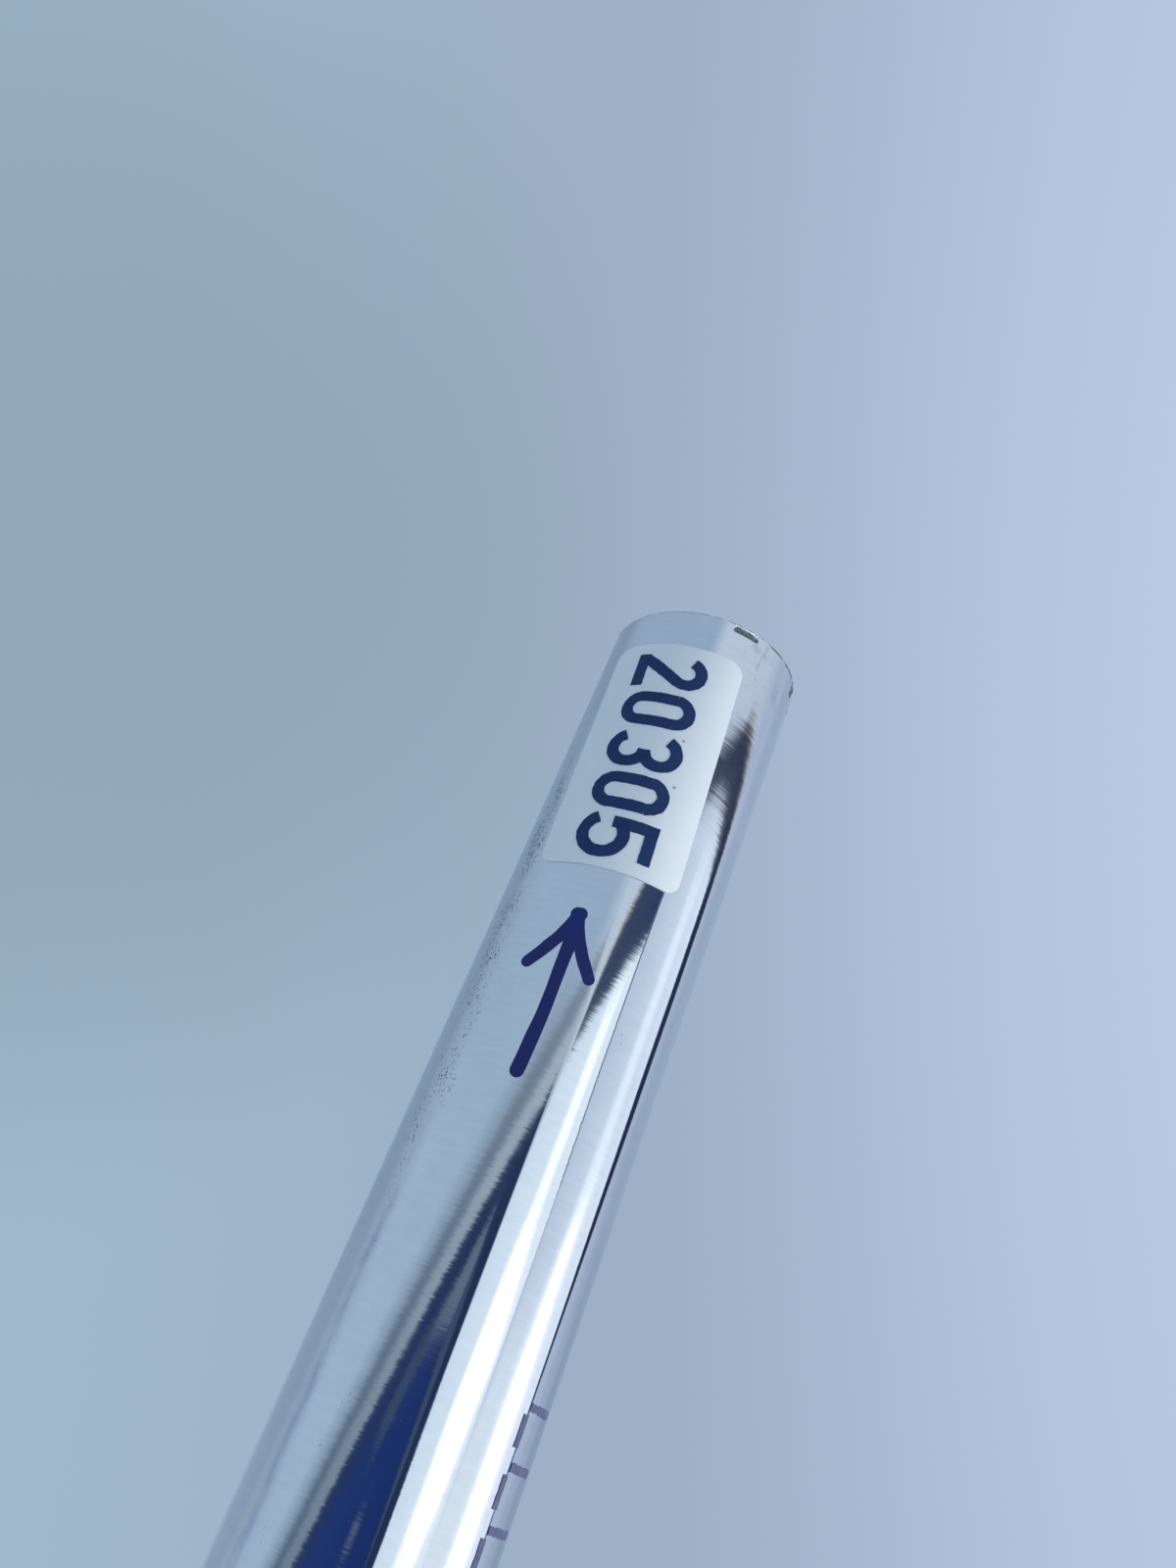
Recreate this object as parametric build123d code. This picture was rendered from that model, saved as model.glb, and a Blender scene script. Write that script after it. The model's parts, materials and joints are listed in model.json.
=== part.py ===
from build123d import *
from math import atan2, cos, degrees, radians, sin
import os

# A bare stepped steel club shaft, chrome plated, with a stock-number sticker, a marker-pen arrow and a
# row of printed dashes on its butt. It stands on its tip: the origin is the centre of the tip's end,
# +Z runs up the axis to the butt, and the sticker faces -Y. Millimetres.

# --- tube ---
shaft_length = 880.0
tip_diameter = 9.40          # parallel tip that is bonded into a head
butt_diameter = 15.24        # parallel butt that takes a grip
tip_wall = 0.58
butt_wall = 0.33
tip_section = 190.0          # from the tip's end to the first step
step_count = 14
step_pitch = 35.0
step_ramp = 1.6              # length of the cone from one step to the next
tip_chamfer = 0.25
rim_rise = 0.46              # the sawn butt is out of square: its +X side is this much over the centre

# --- chip in the butt's rim ---
chip_place = 2.05            # round the tube from -Y, towards +X
chip_width = 1.9
chip_drop = 0.65
chip_depth = 0.12

# --- sticker, measured along the tube's surface from the rim's centre ---
sticker_width = 10.5
sticker_length = 20.0
sticker_film = 0.08
sticker_corner = 1.1
sticker_place = -1.72
sticker_drop = 13.6
sticker_turn = 3.2           # degrees: its lower end leans towards +X

# --- figures printed on the sticker ---
ink_film = 0.04
figure_height = 5.6
figure_width = 3.05
figure_stroke = 0.9
figure_pitch = 3.7
figure_row = -0.12           # middle of the row, from the sticker's middle
figure_drop = 0.0

# --- marker-pen arrow, pointing to the butt ---
pen_width = 0.95
arrow_place = -1.75
arrow_point_drop = 27.3
arrow_length = 11.2
arrow_half_span = 2.15
arrow_barb = 4.1             # how far the barbs come down from the point

# --- printed dashes, to the right of the arrow ---
dash_place = 6.85
dash_first_drop = 55.0
dash_pitch = 3.1
dash_count = 8
dash_stroke = 0.45
dash_length = 1.7
tick_length = 2.7
tick_gap = 0.35

butt_radius = butt_diameter / 2
tip_radius = tip_diameter / 2
radius_step = (butt_radius - tip_radius) / step_count
wall_step = (tip_wall - butt_wall) / step_count
sawing_spare = 2.0           # extra length that the saw cut takes off


def tube_side(radius_at, end):
    """The profile of one side of the tube's wall, from the tip to the butt, as (radius, 0, height)."""
    points = [(radius_at(0), 0, 0)]
    for step in range(step_count):
        height = tip_section + step * step_pitch
        points.append((radius_at(step), 0, height))
        points.append((radius_at(step + 1), 0, height + step_ramp))
    points.append((radius_at(step_count), 0, end))
    return points


def outer_radius(step):
    return tip_radius + step * radius_step


def inner_radius(step):
    return outer_radius(step) - tip_wall + step * wall_step


def on_tube(place, drop):
    """The plane that touches the butt's surface direction at a place: x round the tube, y up it."""
    turn = place / butt_radius
    return Plane(
        origin=(0, 0, shaft_length - drop),
        x_dir=(cos(turn), sin(turn), 0),
        z_dir=(sin(turn), -cos(turn), 0),
    )


def film(outline, plane, under, thickness):
    """A flat outline laid on the tube as a film whose inside has the radius under."""
    prism = extrude(plane * outline, amount=2 * butt_diameter)
    reach = prism.bounding_box()
    shell_height = 2 * reach.size.Z
    shell = Cylinder(under + thickness, shell_height) - Cylinder(under, shell_height)
    return prism & Pos(0, 0, reach.center().Z) * shell


def projected(arc):
    """How far an arc along the tube's surface reaches across the plane that touches its start."""
    return butt_radius * sin(arc / butt_radius)


def chrome_shaft():
    """Drawn steel tube with its steps pressed in, and its butt sawn off a little out of square."""
    end = shaft_length + sawing_spare
    outside = tube_side(outer_radius, end)
    outside[0] = (tip_radius, 0, tip_chamfer)
    outside.insert(0, (tip_radius - tip_chamfer, 0, 0))
    inside = tube_side(inner_radius, end)
    wall = make_face(Polyline(*outside, *reversed(inside), close=True))
    tube = revolve(wall, Axis.Z)
    saw = Plane(origin=(0, 0, shaft_length), z_dir=(-rim_rise / butt_radius, 0, 1))
    tube = split(tube, bisect_by=saw, keep=Keep.BOTTOM)
    chip = film(
        Pos(0, -chip_drop / 2 + rim_rise) * Rectangle(chip_width, chip_drop + rim_rise),
        on_tube(chip_place, 0),
        butt_radius - chip_depth,
        1,
    )
    return tube - chip


def number_label():
    """Paper-white film sticker with rounded corners, stuck on a little askew."""
    lean = radians(sticker_turn)
    corners = []
    for across, up in ((-1, -1), (1, -1), (1, 1), (-1, 1)):
        x, y = across * sticker_width / 2, up * sticker_length / 2
        corners.append((projected(x * cos(lean) - y * sin(lean)), x * sin(lean) + y * cos(lean)))
    outline = make_face(Polyline(*corners, close=True))
    outline = fillet(outline.vertices(), sticker_corner)
    return film(outline, on_tube(sticker_place, sticker_drop), butt_radius, sticker_film)


def figure_zero():
    ring = SlotOverall(figure_height, figure_width, rotation=90)
    inner_height = figure_height - 2 * figure_stroke
    return ring - SlotOverall(inner_height, figure_width - 2 * figure_stroke, rotation=90)


def bow(centre_y, radius, start, sweep):
    """Part of a round stroke, centred on the figure's upright middle line."""
    return trace(CenterArc((0, centre_y), radius, start, sweep), figure_stroke)


def figure_two():
    radius = (figure_width - figure_stroke) / 2
    centre_y = figure_height / 2 - figure_stroke / 2 - radius
    foot = -(figure_height - figure_stroke) / 2
    top = bow(centre_y, radius, -35, 200)
    slope_start = (radius * cos(radians(-35)), centre_y + radius * sin(radians(-35)))
    slope = trace(Polyline(slope_start, (-radius, foot + figure_stroke / 4)), figure_stroke)
    base = Pos(0, foot) * Rectangle(figure_width, figure_stroke)
    return top + slope + base


def figure_three():
    radius = (figure_height - figure_stroke) / 4
    return bow(radius, radius, -90, 250) + bow(-radius, radius, 90, -250)


def figure_five():
    radius = (figure_height - figure_stroke) / 4 + 0.25
    centre_y = -figure_height / 2 + figure_stroke / 2 + radius
    head = (figure_height - figure_stroke) / 2
    left = -figure_width / 2 + figure_stroke / 2
    bowl = bow(centre_y, radius, -155, 295)
    back = Pos(left, head / 2 + centre_y / 2 + figure_stroke / 2) * Rectangle(figure_stroke, head - centre_y)
    top = Pos(0, head) * Rectangle(figure_width, figure_stroke)
    return bowl + back + top


def label_figures():
    """Stock figures printed on the sticker: they read down the shaft, with their heads towards +X."""
    row = [figure_two(), figure_zero(), figure_three(), figure_zero(), figure_five()]
    middle = (len(row) - 1) / 2
    plane = on_tube(sticker_place, sticker_drop)
    prints = []
    for number, figure in enumerate(row):
        along = (middle - number) * figure_pitch - figure_drop
        outline = Rot(0, 0, sticker_turn) * Pos(figure_row, along) * Rot(0, 0, -90) * figure
        prints += film(outline, plane, butt_radius + sticker_film, ink_film).solids()
    return Compound(prints)


def pen_line(end_x, end_y):
    """One pull of the marker from the arrow's point, with the pen's round ends."""
    line = Vector(end_x, end_y)
    middle = Pos(end_x / 2, end_y / 2) * Rot(0, 0, degrees(atan2(end_y, end_x)))
    return middle * SlotCenterToCenter(line.length, pen_width)


def marker_arrow():
    """Arrow drawn by hand with a felt marker: one stroke for the stem and one for each barb."""
    stem = pen_line(0, -arrow_length)
    barbs = pen_line(-arrow_half_span, -arrow_barb) + pen_line(arrow_half_span, -arrow_barb)
    return film(stem + barbs, on_tube(arrow_place, arrow_point_drop), butt_radius, ink_film)


def code_dashes():
    """Plain printed dashes along the shaft, with a cross tick at the start of each."""
    plane = on_tube(dash_place + tick_length / 2, dash_first_drop)
    prints = []
    for number in range(dash_count):
        start = -number * dash_pitch
        base = Pos(-tick_length / 2, start - dash_stroke - dash_length / 2)
        tick = Pos(tick_gap / 2, start) * Rectangle(tick_length, dash_stroke)
        for outline in (base * Rectangle(dash_stroke, dash_length), tick):
            prints += film(outline, plane, butt_radius, ink_film).solids()
    return Compound(prints)


nodes = {
    "chrome_shaft": chrome_shaft(),
    "number_label": number_label(),
    "label_figures": label_figures(),
    "marker_arrow": marker_arrow(),
    "code_dashes": code_dashes(),
}

os.makedirs("parts", exist_ok=True)
for name, shape in nodes.items():
    export_step(shape, f"parts/{name}.step")
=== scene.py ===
import json
from math import atan2, ceil, cos, hypot, pi, radians, sin

import bpy
import numpy as np
from mathutils import Matrix, Vector, geometry, noise


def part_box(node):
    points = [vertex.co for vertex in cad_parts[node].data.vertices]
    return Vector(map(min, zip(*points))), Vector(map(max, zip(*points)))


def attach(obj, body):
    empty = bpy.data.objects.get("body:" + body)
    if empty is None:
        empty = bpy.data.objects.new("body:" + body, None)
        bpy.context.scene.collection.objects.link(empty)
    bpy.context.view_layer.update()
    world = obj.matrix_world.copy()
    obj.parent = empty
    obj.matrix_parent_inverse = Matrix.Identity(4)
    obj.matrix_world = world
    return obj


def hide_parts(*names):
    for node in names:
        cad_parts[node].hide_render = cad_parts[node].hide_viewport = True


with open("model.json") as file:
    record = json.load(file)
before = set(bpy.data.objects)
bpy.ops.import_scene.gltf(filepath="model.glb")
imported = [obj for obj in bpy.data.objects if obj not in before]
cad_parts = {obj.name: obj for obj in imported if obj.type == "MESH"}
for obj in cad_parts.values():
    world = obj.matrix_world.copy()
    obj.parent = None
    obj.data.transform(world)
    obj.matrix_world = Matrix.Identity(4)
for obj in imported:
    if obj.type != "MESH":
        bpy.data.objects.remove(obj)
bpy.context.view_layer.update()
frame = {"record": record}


# Shaft tube: a steel club shaft, drawn to a thin tube, pressed into steps that narrow it towards the tip,
# and plated with bright chrome. Its butt is sawn a little out of square and keeps a chip in the plating,
# a lifted flake and a worn edge. The surface is ground round and round before it is plated.
mm = 0.001
mounts = {mount["name"]: mount["dims"] for mount in frame["record"]["mounts"]}
shaft_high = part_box("chrome_shaft")[1]
rim_rise = 0.46 * mm
butt_radius = shaft_high.x
shaft_length = shaft_high.z - rim_rise
tip_radius = mounts["tip"]["r_mm"] * mm
butt_bore = mounts["butt_bore"]["r_mm"] * mm
tip_bore = mounts["tip_bore"]["r_mm"] * mm
tip_section = mounts["tip"]["length_mm"] * mm
butt_section = mounts["butt"]["length_mm"] * mm
step_count = 14
step_ramp = 1.6 * mm
step_pitch = (shaft_length - tip_section - butt_section - step_ramp) / (step_count - 1)
step_rings = 7               # rings along each step's slope
edge_round = 0.05 * mm
tip_round = 0.25 * mm
bore_chamfer = 0.15 * mm
sheared_length = 6 * mm      # the rings here lean over little by little until they lie in the saw cut
worn_length = 3.2 * mm       # the rings here are close enough together to carry the chip and the wear
worn_ring_gap = 0.05 * mm
worn_start = 0.5 * mm        # the worn side of the rim, round the tube from -Y towards +X
worn_end = 11.3 * mm
fine_arc = 0.07 * mm         # between the points of a ring on the worn side, and on the rest
plain_arc = 0.26 * mm
saw_depth = 0.012 * mm
chip_place = 2.12            # the chip and the flake, in mm: middle round the tube, drop below the rim
chip_drop = 0.47
chip_half_width = 0.95
chip_half_height = 0.27
chip_depth = 0.09
flake_place = 9.35
flake_drop = 0.8
flake_half_width = 0.4
flake_half_height = 0.6
flake_lift = 0.15

# Where the plating is gone or worn thin, in millimetres: middle round the tube, drop below the rim, half
# width, half height, and how badly from 0 to 1.
worn_patches = (
    (chip_place, chip_drop, 0.92, 0.24, 1.0),
    (5.3, 0.02, 0.75, 0.13, 0.95),
    (7.6, 0.03, 0.85, 0.16, 0.95),
    (flake_place, 0.75, 0.36, 0.55, 1.0),
    (10.8, 1.75, 0.24, 0.24, 1.0),
    (3.95, 0.7, 0.5, 0.3, 0.3),
    (5.4, 1.3, 0.6, 0.25, 0.34),
    (6.6, 2.1, 0.9, 0.4, 0.33),
)


def smooth(share):
    """0 below 0, 1 above 1, and an even turn from one to the other."""
    share = min(1.0, max(0.0, share))
    return share * share * (3 - 2 * share)


def radius_at(height, at_tip, at_butt):
    """The tube's radius at a height, for its outside or its bore."""
    climbed = 0.0
    for step in range(step_count):
        climbed += smooth((height - tip_section - step * step_pitch) / step_ramp)
    return at_tip + (at_butt - at_tip) * climbed / step_count


def wear_at(place, below):
    """How far the plating is gone, 0 to 1, at a place round the tube and a drop below the rim, in mm."""
    rag = noise.noise(Vector((place * 1.9, below * 2.6, 4.0)))
    fine = noise.noise(Vector((place * 6.0, below * 6.0, 9.0)))
    worst = 0.85 * smooth(1.3 - below / 0.11) * smooth(0.8 + 1.6 * rag)
    for middle, drop, half_width, half_height, strength in worn_patches:
        across = abs(place - middle) / half_width
        down = abs(below - drop) / half_height
        inside = 1.25 - max(across, down) + 0.35 * rag + 0.2 * fine
        worst = max(worst, strength * smooth(inside / 0.4))
    return worst


def lift_at(place, below):
    """How far the surface stands out, in mm: down into the chip, and up on the flake."""
    across = abs(place - chip_place) / chip_half_width
    down = abs(below - chip_drop) / chip_half_height
    chip = smooth((1.15 - max(across, down)) / 0.25)
    across = (place - flake_place) / flake_half_width
    down = (below - flake_drop) / flake_half_height
    flake = smooth(1 - hypot(across, down))
    roughness = noise.noise(Vector((place * 5, below * 5, 2.0)))
    return chip * (0.03 * roughness - chip_depth) + flake * (flake_lift + 0.08 * roughness)


def angles_round():
    """The angles of the points of one ring: close together along the worn side of the rim."""
    round_length = 2 * pi * butt_radius
    fine = np.arange(worn_start, worn_end, fine_arc)
    plain_count = ceil((round_length - worn_end + worn_start) / plain_arc)
    plain = np.linspace(worn_end, worn_start + round_length, plain_count, endpoint=False)
    return np.concatenate([fine, plain]) / butt_radius


def ring_heights():
    """The heights of the rings up the tube, close together at each step and at the rim."""
    heights = [0.02, 0.12]
    for step in range(step_count):
        start = tip_section + step * step_pitch
        heights.append(start - 2 * mm)
        for ring in range(-1, step_rings + 1):
            heights.append(start + step_ramp * ring / (step_rings - 1))
        heights.append(start + step_ramp + 2 * mm)
    plain_top = shaft_length - sheared_length
    heights.extend(np.linspace(heights[-1], plain_top, 12)[1:])
    heights.extend(np.linspace(plain_top, shaft_length - worn_length, 8)[1:])
    worn_rings = round(worn_length / worn_ring_gap)
    heights.extend(np.linspace(shaft_length - worn_length, shaft_length - edge_round, worn_rings)[1:])
    return heights


outer_heights = ring_heights()
bore_heights = [h for h in outer_heights if h < shaft_length - worn_length]
profile = [(tip_bore, bore_chamfer), (tip_bore + bore_chamfer, 0)]
for turn in (0, 30, 60, 90):
    corner = radians(turn)
    profile.append((tip_radius - tip_round * (1 - sin(corner)), tip_round * (1 - cos(corner))))
profile.extend((radius_at(height, tip_radius, butt_radius), height) for height in outer_heights)
for turn in (30, 60, 90):
    corner = radians(turn)
    drop = edge_round * (1 - sin(corner))
    profile.append((butt_radius - edge_round * (1 - cos(corner)), shaft_length - drop))
land_start = len(profile) - 2
profile.append(((butt_radius + butt_bore) / 2, shaft_length))
land_middle = len(profile) - 1
for turn in (0, 45, 90):
    corner = radians(turn)
    drop = edge_round * (1 - cos(corner))
    profile.append((butt_bore + edge_round * (1 - sin(corner)), shaft_length - drop))
land_end = len(profile) - 1
profile.extend((radius_at(height, tip_bore, butt_bore), height) for height in reversed(bore_heights))

tube_angles = angles_round()
ring_size = len(tube_angles)
tube_points = []
tube_wear = []
for ring, (radius, height) in enumerate(profile):
    lean = smooth((height - shaft_length + sheared_length) / sheared_length)
    below = (shaft_length - height) / mm
    can_wear = ring <= land_middle and height > shaft_length - worn_length
    for angle in tube_angles:
        place = (angle * butt_radius) % (2 * pi * butt_radius) / mm
        wear = 0.0
        out = radius
        if can_wear:
            wear = wear_at(place, below)
            out += lift_at(place, below) * mm * smooth((below + 0.4) / 0.5)
        x, y = out * sin(angle), -out * cos(angle)
        z = height + lean * rim_rise * sin(angle)
        if land_start <= ring < land_end:
            z += saw_depth * (noise.noise(Vector((x / mm * 4, y / mm * 0.6, 0))) - 1)
        tube_points.append((min(x, butt_radius), y, z))
        tube_wear.append(wear)

tube_faces = []
for ring in range(len(profile)):
    start = ring * ring_size
    above = (ring + 1) % len(profile) * ring_size
    for side in range(ring_size):
        beside = (side + 1) % ring_size
        tube_faces.append((start + side, start + beside, above + beside, above + side))


def build(name, points, faces, sharp_over=40):
    """A mesh object in the scene, smooth but for its sharp edges."""
    mesh = bpy.data.meshes.new(name)
    mesh.from_pydata([tuple(point) for point in points], [], faces)
    mesh.validate()
    mesh.shade_smooth()
    mesh.set_sharp_from_angle(angle=radians(sharp_over))
    made = bpy.data.objects.new(name, mesh)
    bpy.context.scene.collection.objects.link(made)
    return made


shaft_tube = build("shaft_tube", tube_points, tube_faces, sharp_over=50)
wear_layer = shaft_tube.data.attributes.new("wear", "FLOAT", "POINT")
wear_layer.data.foreach_set("value", np.array(tube_wear, np.float32))


def new_finish(name):
    """A material with nothing but its shader. Returns the material, its tree of nodes and the shader."""
    finish = bpy.data.materials.new(name)
    finish.use_nodes = True
    return finish, finish.node_tree, finish.node_tree.nodes["Principled BSDF"]


def put(tree, kind, inputs=None, output=0, **settings):
    """Adds a node, sets or links its inputs, and returns one of its outputs."""
    made = tree.nodes.new("ShaderNode" + kind)
    for key, value in settings.items():
        setattr(made, key, value)
    for key, value in (inputs or {}).items():
        if isinstance(value, bpy.types.NodeSocket):
            tree.links.new(value, made.inputs[key])
        else:
            made.inputs[key].default_value = value
    return made.outputs[output]


def sums(tree, operation, first, second=0.0, third=0.0):
    """One step of arithmetic on values that change over the surface."""
    return put(tree, "Math", {0: first, 1: second, 2: third}, operation=operation)


def between(tree, value, low, high, start=0.0, end=1.0):
    """start where value is low and end where it is high, turning smoothly between."""
    inputs = {"Value": value, "From Min": low, "From Max": high, "To Min": start, "To Max": end}
    return put(tree, "MapRange", inputs, interpolation_type="SMOOTHSTEP")


def blend_colours(tree, share, first, second):
    """The first colour where the share is 0, and the second where it is 1."""
    inputs = {0: share, 6: first, 7: second}
    return put(tree, "Mix", inputs, output=2, data_type="RGBA", clamp_factor=True)


def grain(tree, place, scale, detail=2.0, roughness=0.5):
    """Noise stretched by a scale for each axis, per metre."""
    stretched = put(tree, "Mapping", {"Vector": place, "Scale": scale}, vector_type="POINT")
    inputs = {"Vector": stretched, "Scale": 1.0, "Detail": detail, "Roughness": roughness}
    return put(tree, "TexNoise", inputs)


def cell_gap(tree, place, scale):
    """How far a place is from the middle of its spot, where spots are strewn by a scale for each axis."""
    cells = put(tree, "Mapping", {"Vector": place, "Scale": scale}, vector_type="POINT")
    return put(tree, "TexVoronoi", {"Vector": cells, "Scale": 1.0, "Randomness": 1.0})


def swing(tree, value, size, base=0.0):
    """Noise made to swing evenly to both sides of a base."""
    return sums(tree, "MULTIPLY_ADD", sums(tree, "SUBTRACT", value, 0.5), size, base)


def gap_from(tree, value, middle):
    return sums(tree, "ABSOLUTE", sums(tree, "SUBTRACT", value, middle))


def place_on_tube(tree, place):
    """How far a place is round the tube from -Y, and how far below the rim, in millimetres."""
    apart = tree.nodes.new("ShaderNodeSeparateXYZ")
    tree.links.new(place, apart.inputs[0])
    x, y, height = apart.outputs
    angle = sums(tree, "ARCTAN2", x, sums(tree, "MULTIPLY", y, -1.0))
    around = sums(tree, "MULTIPLY", angle, butt_radius / mm)
    drop = sums(tree, "MULTIPLY", sums(tree, "SUBTRACT", shaft_length, height), 1 / mm)
    return around, drop


def ground_normal(tree, place):
    """The surface's direction, tipped up and down a hair by grinding lines, ripples and long waves."""
    tilt = swing(tree, grain(tree, place, (110, 110, 8600)), 0.030)
    tilt = swing(tree, grain(tree, place, (28, 28, 900)), 0.004, tilt)
    tilt = swing(tree, grain(tree, place, (60, 60, 24), detail=1.0), 0.003, tilt)
    normal = put(tree, "NewGeometry", output=1)
    up = put(tree, "CombineXYZ", {0: 0.0, 1: 0.0, 2: tilt})
    tilted = put(tree, "VectorMath", {0: normal, 1: up}, operation="ADD")
    return put(tree, "VectorMath", {0: tilted}, operation="NORMALIZE")


def pits_and_painted_reflection(tree, place, around, drop):
    """Rust pits crowded along a wandering line left of the sticker, and a faint violet streak of painted
    reflection along it.
    """
    wander = put(tree, "CombineXYZ", {0: 0.0, 1: 0.0, 2: drop})
    wander = put(tree, "TexNoise", {"Vector": wander, "Scale": 0.16, "Detail": 3.0})
    clusters = grain(tree, place, (420, 420, 150), detail=5.0, roughness=0.75)
    pit_line = sums(tree, "ADD", around, sums(tree, "MULTIPLY_ADD", wander, 2.0, 6.3))
    pit_line = between(tree, sums(tree, "ABSOLUTE", pit_line), 2.6, 0.2)
    below_label = between(tree, gap_from(tree, drop, 30.0), 26.0, 10.0)
    crowd = sums(tree, "MULTIPLY", pit_line, sums(tree, "MULTIPLY_ADD", below_label, 0.7, 0.3))
    crowd = sums(tree, "MULTIPLY_ADD", crowd, 0.24, clusters)
    size = between(tree, crowd, 0.55, 0.84, 0.0, 0.52)
    spots = cell_gap(tree, place, (6400, 6400, 4400))
    pits = between(tree, sums(tree, "SUBTRACT", size, spots), -0.04, 0.14)

    # A wavy violet streak painted into the chrome's colour below the sticker: a painted reflection, not a
    # mark on the plating.
    painted_violet_reflection = sums(tree, "ADD", around, sums(tree, "MULTIPLY_ADD", wander, 1.4, 5.8))
    painted_violet_reflection = between(tree, sums(tree, "ABSOLUTE", painted_violet_reflection), 0.62, 0.05)
    painted_violet_reflection = sums(tree, "MULTIPLY", painted_violet_reflection, between(tree, drop, 40.0, 50.0, 0.0, 0.55))
    painted_violet_reflection = sums(tree, "MULTIPLY", painted_violet_reflection, between(tree, clusters, 0.35, 0.6))
    return pits, painted_violet_reflection


def chrome_plate():
    """Bright chrome over steel that was ground round the tube, with pits, wear, a greasy bloom and a
    violet painted reflection.
    """
    bloomed = (0.62, 0.66, 0.70, 1)
    bright = (0.78, 0.785, 0.81, 1)
    pit_black = (0.12, 0.14, 0.16, 1)
    # The colour of the violet painted reflection laid into the chrome below the sticker.
    painted_reflection_violet = (0.42, 0.40, 0.60, 1)
    scuff_grey = (0.50, 0.54, 0.57, 1)
    steel_dark = (0.07, 0.10, 0.105, 1)
    steel_grey = (0.27, 0.32, 0.32, 1)

    finish, tree, shader = new_finish("chrome_plate")
    place = put(tree, "TexCoord", output=3)
    around, drop = place_on_tube(tree, place)
    pits, painted_violet_reflection = pits_and_painted_reflection(tree, place, around, drop)
    tree.links.new(ground_normal(tree, place), shader.inputs["Normal"])

    broken = grain(tree, place, (3800, 3800, 3800), detail=3.0, roughness=0.6)
    wear = put(tree, "Attribute", output=2, attribute_name="wear")
    wear = between(tree, swing(tree, broken, 0.9, wear), 0.42, 0.62)
    beside_label = between(tree, gap_from(tree, around, 5.6), 4.0, 1.5)
    near_rim = between(tree, drop, 7.0, 1.0)
    scuffs = between(tree, grain(tree, place, (900, 900, 500), detail=4.0, roughness=0.65), 0.52, 0.64)
    scuffs = sums(tree, "MULTIPLY", scuffs, sums(tree, "MULTIPLY", beside_label, near_rim))

    bloom = grain(tree, place, (150, 150, 55), detail=4.0, roughness=0.6)
    mottle = grain(tree, place, (520, 520, 2400), detail=4.0, roughness=0.6)
    colour = blend_colours(tree, swing(tree, mottle, 0.8, bloom), bloomed, bright)
    colour = blend_colours(tree, sums(tree, "MULTIPLY", pits, 0.9), colour, pit_black)
    # Lays the violet painted reflection into the chrome's colour.
    colour = blend_colours(tree, painted_violet_reflection, colour, painted_reflection_violet)
    colour = blend_colours(tree, sums(tree, "MULTIPLY", scuffs, 0.6), colour, scuff_grey)
    colour = blend_colours(tree, wear, colour, blend_colours(tree, broken, steel_dark, steel_grey))
    tree.links.new(colour, shader.inputs["Base Color"])

    grease = grain(tree, place, (240, 240, 90), detail=5.0, roughness=0.7)
    rough = between(tree, grease, 0.3, 0.8, 0.036, 0.060)
    rough = sums(tree, "MULTIPLY_ADD", pits, 0.3, rough)
    rough = sums(tree, "MULTIPLY_ADD", scuffs, 0.12, rough)
    rough = sums(tree, "MAXIMUM", rough, sums(tree, "MULTIPLY", wear, 0.5))
    tree.links.new(rough, shader.inputs["Roughness"])
    shader.inputs["Metallic"].default_value = 1.0
    shader.inputs["Anisotropic"].default_value = 0.9
    shader.inputs["Anisotropic Rotation"].default_value = 0.25
    tree.links.new(put(tree, "Tangent", direction_type="RADIAL", axis="Z"), shader.inputs["Tangent"])
    return finish


def bare_steel():
    """Unplated steel, sawn at the rim and drawn in the bore, with fine lines along it and stains."""
    stained_steel = (0.20, 0.22, 0.23, 1)
    raw_steel = (0.46, 0.48, 0.49, 1)
    finish, tree, shader = new_finish("bare_steel")
    place = put(tree, "TexCoord", output=3)
    drawn = grain(tree, place, (2600, 2600, 30), detail=3.0, roughness=0.7)
    stains = grain(tree, place, (160, 160, 60), detail=4.0, roughness=0.65)
    colour = blend_colours(tree, stains, stained_steel, raw_steel)
    tree.links.new(colour, shader.inputs["Base Color"])
    tree.links.new(between(tree, drawn, 0.25, 0.75, 0.28, 0.5), shader.inputs["Roughness"])
    shader.inputs["Metallic"].default_value = 1.0
    bump = put(tree, "Bump", {"Height": drawn, "Strength": 0.35, "Distance": 0.05 * mm})
    tree.links.new(bump, shader.inputs["Normal"])
    return finish


shaft_tube.data.materials.append(chrome_plate())
shaft_tube.data.materials.append(bare_steel())
plated_faces = land_start * ring_size
bare = [0] * plated_faces + [1] * (len(tube_faces) - plated_faces)
shaft_tube.data.polygons.foreach_set("material_index", bare)
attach(shaft_tube, "root")
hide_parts("chrome_shaft")


# Sticker: a paper-white film label with rounded corners, stuck on by hand a little askew just under the
# rim. It carries the shaft's stock number, and lies not quite flat, least of all at its lower left corner.
label_low, label_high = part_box("number_label")
label_width = 10.5           # the sizes of films and of inks are in mm, along the tube's surface
label_length = 20.0
label_corner = 1.1
label_turn = radians(3.2)
label_place = -1.72          # of its middle, round the tube from -Y towards +X
label_film = 0.08 * mm
label_height = (label_low.z + label_high.z) / 2


def outline_points(points, gap):
    """A closed outline with more points along its long runs, so that it follows the tube's curve."""
    filled = []
    for start, end in zip(points, points[1:] + points[:1]):
        pieces = max(1, ceil(hypot(end[0] - start[0], end[1] - start[1]) / gap))
        for piece in range(pieces):
            share = piece / pieces
            x = start[0] + (end[0] - start[0]) * share
            y = start[1] + (end[1] - start[1]) * share
            filled.append((x, y))
    return filled


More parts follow.
